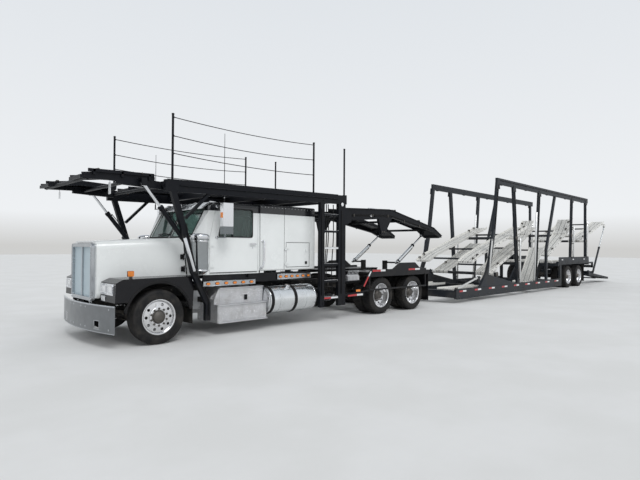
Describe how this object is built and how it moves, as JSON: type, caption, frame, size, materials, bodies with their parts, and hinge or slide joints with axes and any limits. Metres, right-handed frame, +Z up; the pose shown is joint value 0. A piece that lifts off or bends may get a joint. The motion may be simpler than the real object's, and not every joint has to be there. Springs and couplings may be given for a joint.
{
  "type": "car transporter truck",
  "caption": "Articulated car transporter: sleeper tractor with a rack over cab and hood, low stinger coupling and a trailer with tilting wheel-track decks, cylinders and tail ramp.",
  "frame": {"origin": "bottom centre of the whole: on the ground under the middle of its length and width", "axes": "+X forward to the hood end, +Y to the left side, +Z up"},
  "size_m": [25.81, 2.67, 4.035],
  "materials": {
    "white_paint": "gloss automotive white",
    "frame_paint": "satin dark slate grey, dusty",
    "chassis_paint": "satin black chassis paint",
    "black_paint": "gloss black",
    "polished": "mirror polished",
    "aluminium": "brushed, with tread plate on the boxes",
    "wheel_metal": "polished rims",
    "track_metal": "dull perforated walkway metal",
    "infill_paint": "satin light blue-grey",
    "cast": "rough cast, dusty",
    "tyre": "matt rubber",
    "glass": "clear, faint green",
    "rod_steel": "ground and chromed",
    "lamp": "bright reflector behind clear lens",
    "cab_trim": "grained dark grey",
    "seat_fabric": "woven grey"
  },
  "bodies": {
    "tractor": {"tractor_frame": "chassis_paint", "powertrain": "cast", "front_axle": "cast", "drive_axles": "cast", "bumper": "polished", "cab_shell": "white_paint", "cab_glass": "glass", "sun_visor": "polished", "seats": "seat_fabric", "dashboard": "cab_trim", "sleeper_shell": "white_paint", "air_cleaners": "polished", "tool_boxes": "aluminium", "fuel_tanks": "polished", "side_skirts": "black_paint", "drive_fenders": "black_paint", "head_rack": "frame_paint"},
    "hood": {"hood_shell": "white_paint", "front_fenders": "black_paint", "grille": "polished", "grille_infill": "infill_paint", "headlamps": "lamp"},
    "steering_wheel": {"steering_wheel": "cab_trim"},
    "head_ramp": {"head_ramp": "frame_paint"},
    "head_cylinders": {"head_cylinders": "frame_paint"},
    "head_rods": {"head_rods": "rod_steel"},
    "truck_deck": {"truck_deck": "frame_paint"},
    "truck_deck_cylinders": {"truck_deck_cylinders": "frame_paint"},
    "truck_deck_rods": {"truck_deck_rods": "rod_steel"},
    "trailer": {"trailer_frame": "frame_paint", "trailer_side_frames": "frame_paint", "trailer_tracks": "track_metal", "trailer_axles": "cast"},
    "front_deck": {"front_deck": "track_metal"},
    "rear_deck": {"rear_deck": "track_metal"},
    "lower_deck": {"lower_deck": "track_metal"},
    "tail_deck": {"tail_deck": "track_metal"},
    "tail_cylinders": {"tail_cylinders": "frame_paint"},
    "tail_rods": {"tail_rods": "rod_steel"},
    "tail_ramp": {"tail_ramp": "frame_paint"},
    "door_left": {"door_left": "white_paint", "door_glass_left": "glass"},
    "locker_door_left": {"locker_door_left": "white_paint"},
    "knuckle_left": {"knuckle_left": "cast"},
    "steer_wheel_left": {"steer_tyre_left": "tyre", "steer_rim_left": "wheel_metal"},
    "drive_wheel_1_left": {"drive_wheel_1_left": "tyre"},
    "drive_wheel_2_left": {"drive_wheel_2_left": "tyre"},
    "trailer_wheel_1_left": {"trailer_wheel_1_left": "tyre"},
    "trailer_wheel_2_left": {"trailer_wheel_2_left": "tyre"},
    "door_right": {"door_right": "white_paint", "door_glass_right": "glass"},
    "locker_door_right": {"locker_door_right": "white_paint"},
    "knuckle_right": {"knuckle_right": "cast"},
    "steer_wheel_right": {"steer_tyre_right": "tyre", "steer_rim_right": "wheel_metal"},
    "drive_wheel_1_right": {"drive_wheel_1_right": "tyre"},
    "drive_wheel_2_right": {"drive_wheel_2_right": "tyre"},
    "trailer_wheel_1_right": {"trailer_wheel_1_right": "tyre"},
    "trailer_wheel_2_right": {"trailer_wheel_2_right": "tyre"}
  },
  "joints": [
    {"name": "hood_tilt", "type": "hinge", "parent": "tractor", "child": "hood", "pos_m": [12.495, 0, 0.708], "axis": [0, 1, 0], "range_deg": [0, 50]},
    {"name": "door_left_swing", "type": "hinge", "parent": "tractor", "child": "door_left", "pos_m": [10.601, 1.038, 1.5], "axis": [0, 0, -1], "range_deg": [0, 68]},
    {"name": "locker_left_swing", "type": "hinge", "parent": "tractor", "child": "locker_door_left", "pos_m": [8.761, 1.066, 1.49], "axis": [0, 0, -1], "range_deg": [0, 90]},
    {"name": "door_right_swing", "type": "hinge", "parent": "tractor", "child": "door_right", "pos_m": [10.601, -1.038, 1.5], "axis": [0, 0, 1], "range_deg": [0, 68]},
    {"name": "locker_right_swing", "type": "hinge", "parent": "tractor", "child": "locker_door_right", "pos_m": [8.761, -1.066, 1.49], "axis": [0, 0, 1], "range_deg": [0, 90]},
    {"name": "steer_left", "type": "hinge", "parent": "tractor", "child": "knuckle_left", "pos_m": [11.645, 0.905, 0.463], "axis": [0, 0, 1], "range_deg": [-35, 35]},
    {"name": "steer_right", "type": "hinge", "parent": "tractor", "child": "knuckle_right", "pos_m": [11.645, -0.905, 0.463], "axis": [0, 0, 1], "range_deg": [-35, 35]},
    {"name": "steering_column", "type": "hinge", "parent": "tractor", "child": "steering_wheel", "pos_m": [10.395, 0.5, 1.77], "axis": [-0.7071, 0, 0.7071], "range_deg": [-700, 700]},
    {"name": "steer_wheel_left_spin", "type": "hinge", "parent": "knuckle_left", "child": "steer_wheel_left", "pos_m": [11.645, 1.06, 0.463], "axis": [0, 1, 0], "continuous": true},
    {"name": "drive_wheel_1_left_spin", "type": "hinge", "parent": "tractor", "child": "drive_wheel_1_left", "pos_m": [5.782, 0.9475, 0.463], "axis": [0, 1, 0], "continuous": true},
    {"name": "drive_wheel_2_left_spin", "type": "hinge", "parent": "tractor", "child": "drive_wheel_2_left", "pos_m": [4.456, 0.9475, 0.463], "axis": [0, 1, 0], "continuous": true},
    {"name": "trailer_wheel_1_left_spin", "type": "hinge", "parent": "trailer", "child": "trailer_wheel_1_left", "pos_m": [-6.863, 0.9675, 0.463], "axis": [0, 1, 0], "continuous": true},
    {"name": "trailer_wheel_2_left_spin", "type": "hinge", "parent": "trailer", "child": "trailer_wheel_2_left", "pos_m": [-8.112, 0.9675, 0.463], "axis": [0, 1, 0], "continuous": true},
    {"name": "steer_wheel_right_spin", "type": "hinge", "parent": "knuckle_right", "child": "steer_wheel_right", "pos_m": [11.645, -1.06, 0.463], "axis": [0, 1, 0], "continuous": true},
    {"name": "drive_wheel_1_right_spin", "type": "hinge", "parent": "tractor", "child": "drive_wheel_1_right", "pos_m": [5.782, -0.9475, 0.463], "axis": [0, 1, 0], "continuous": true},
    {"name": "drive_wheel_2_right_spin", "type": "hinge", "parent": "tractor", "child": "drive_wheel_2_right", "pos_m": [4.456, -0.9475, 0.463], "axis": [0, 1, 0], "continuous": true},
    {"name": "trailer_wheel_1_right_spin", "type": "hinge", "parent": "trailer", "child": "trailer_wheel_1_right", "pos_m": [-6.863, -0.9675, 0.463], "axis": [0, 1, 0], "continuous": true},
    {"name": "trailer_wheel_2_right_spin", "type": "hinge", "parent": "trailer", "child": "trailer_wheel_2_right", "pos_m": [-8.112, -0.9675, 0.463], "axis": [0, 1, 0], "continuous": true},
    {"name": "trailer_turn", "type": "hinge", "parent": "tractor", "child": "trailer", "pos_m": [2.996, 0, 0.436], "axis": [0, 0, 1], "range_deg": [-45, 45]},
    {"name": "head_ramp_tilt", "type": "hinge", "parent": "tractor", "child": "head_ramp", "pos_m": [11.565, 0, 2.7], "axis": [0, -1, 0], "range_deg": [-5, 15]},
    {"name": "truck_deck_tilt", "type": "hinge", "parent": "tractor", "child": "truck_deck", "pos_m": [7.045, 0, 2.35], "axis": [0, 1, 0], "range_deg": [-4, 6]},
    {"name": "front_deck_tilt", "type": "hinge", "parent": "trailer", "child": "front_deck", "pos_m": [-1.74, 0, 2.03], "axis": [0, 1, 0], "range_deg": [-17, 3]},
    {"name": "rear_deck_tilt", "type": "hinge", "parent": "trailer", "child": "rear_deck", "pos_m": [-7.115, 0, 2.235], "axis": [0, 1, 0], "range_deg": [-25, 3]},
    {"name": "lower_deck_tilt", "type": "hinge", "parent": "trailer", "child": "lower_deck", "pos_m": [-0.255, 0, 0.79], "axis": [0, 1, 0], "range_deg": [-20, 0]},
    {"name": "tail_deck_tilt", "type": "hinge", "parent": "trailer", "child": "tail_deck", "pos_m": [-8.92, 0, 2.01], "axis": [0, 1, 0], "range_deg": [-17, 5]},
    {"name": "tail_ramp_tilt", "type": "hinge", "parent": "trailer", "child": "tail_ramp", "pos_m": [-9.805, 0, 0.56], "axis": [0, 1, 0], "range_deg": [-1.5, 18]},
    {"name": "head_cylinder_turn", "type": "hinge", "parent": "tractor", "child": "head_cylinders", "pos_m": [11.195, 0, 1.77], "axis": [0, 1, 0], "range_deg": [-3.24, 1.11]},
    {"name": "head_rod_slide", "type": "slide", "parent": "head_cylinders", "child": "head_rods", "axis": [0.6278, 0, 0.7784], "range_m": [-0.0251, 0.0734]},
    {"name": "truck_deck_cylinder_turn", "type": "hinge", "parent": "tractor", "child": "truck_deck_cylinders", "pos_m": [4.595, 0, 1.25], "axis": [0, 1, 0], "range_deg": [-7.76, 11.62]},
    {"name": "truck_deck_rod_slide", "type": "slide", "parent": "truck_deck_cylinders", "child": "truck_deck_rods", "axis": [-0.8416, 0, 0.54], "range_m": [-0.162, 0.2425]},
    {"name": "tail_cylinder_turn", "type": "hinge", "parent": "trailer", "child": "tail_cylinders", "pos_m": [-10.275, 0, 0.55], "axis": [0, 1, 0], "range_deg": [-16.18, 4.79]},
    {"name": "tail_rod_slide", "type": "slide", "parent": "tail_cylinders", "child": "tail_rods", "axis": [-0.6052, 0, 0.7961], "range_m": [-0.5889, 0.1739]}
  ],
  "couplings": [
    {"joint": "steer_right", "follows": "steer_left", "ratio": 1},
    {"joint": "steering_column", "follows": "steer_left", "ratio": 20},
    {"joint": "head_cylinder_turn", "follows": "head_ramp_tilt", "ratio": -0.2125},
    {"joint": "head_rod_slide", "follows": "head_ramp_tilt", "m_per_rad": 0.2765},
    {"joint": "truck_deck_cylinder_turn", "follows": "truck_deck_tilt", "ratio": 1.9279},
    {"joint": "truck_deck_rod_slide", "follows": "truck_deck_tilt", "m_per_rad": 2.3062},
    {"joint": "tail_cylinder_turn", "follows": "tail_deck_tilt", "ratio": 0.9487},
    {"joint": "tail_rod_slide", "follows": "tail_deck_tilt", "m_per_rad": 1.9815}
  ]
}
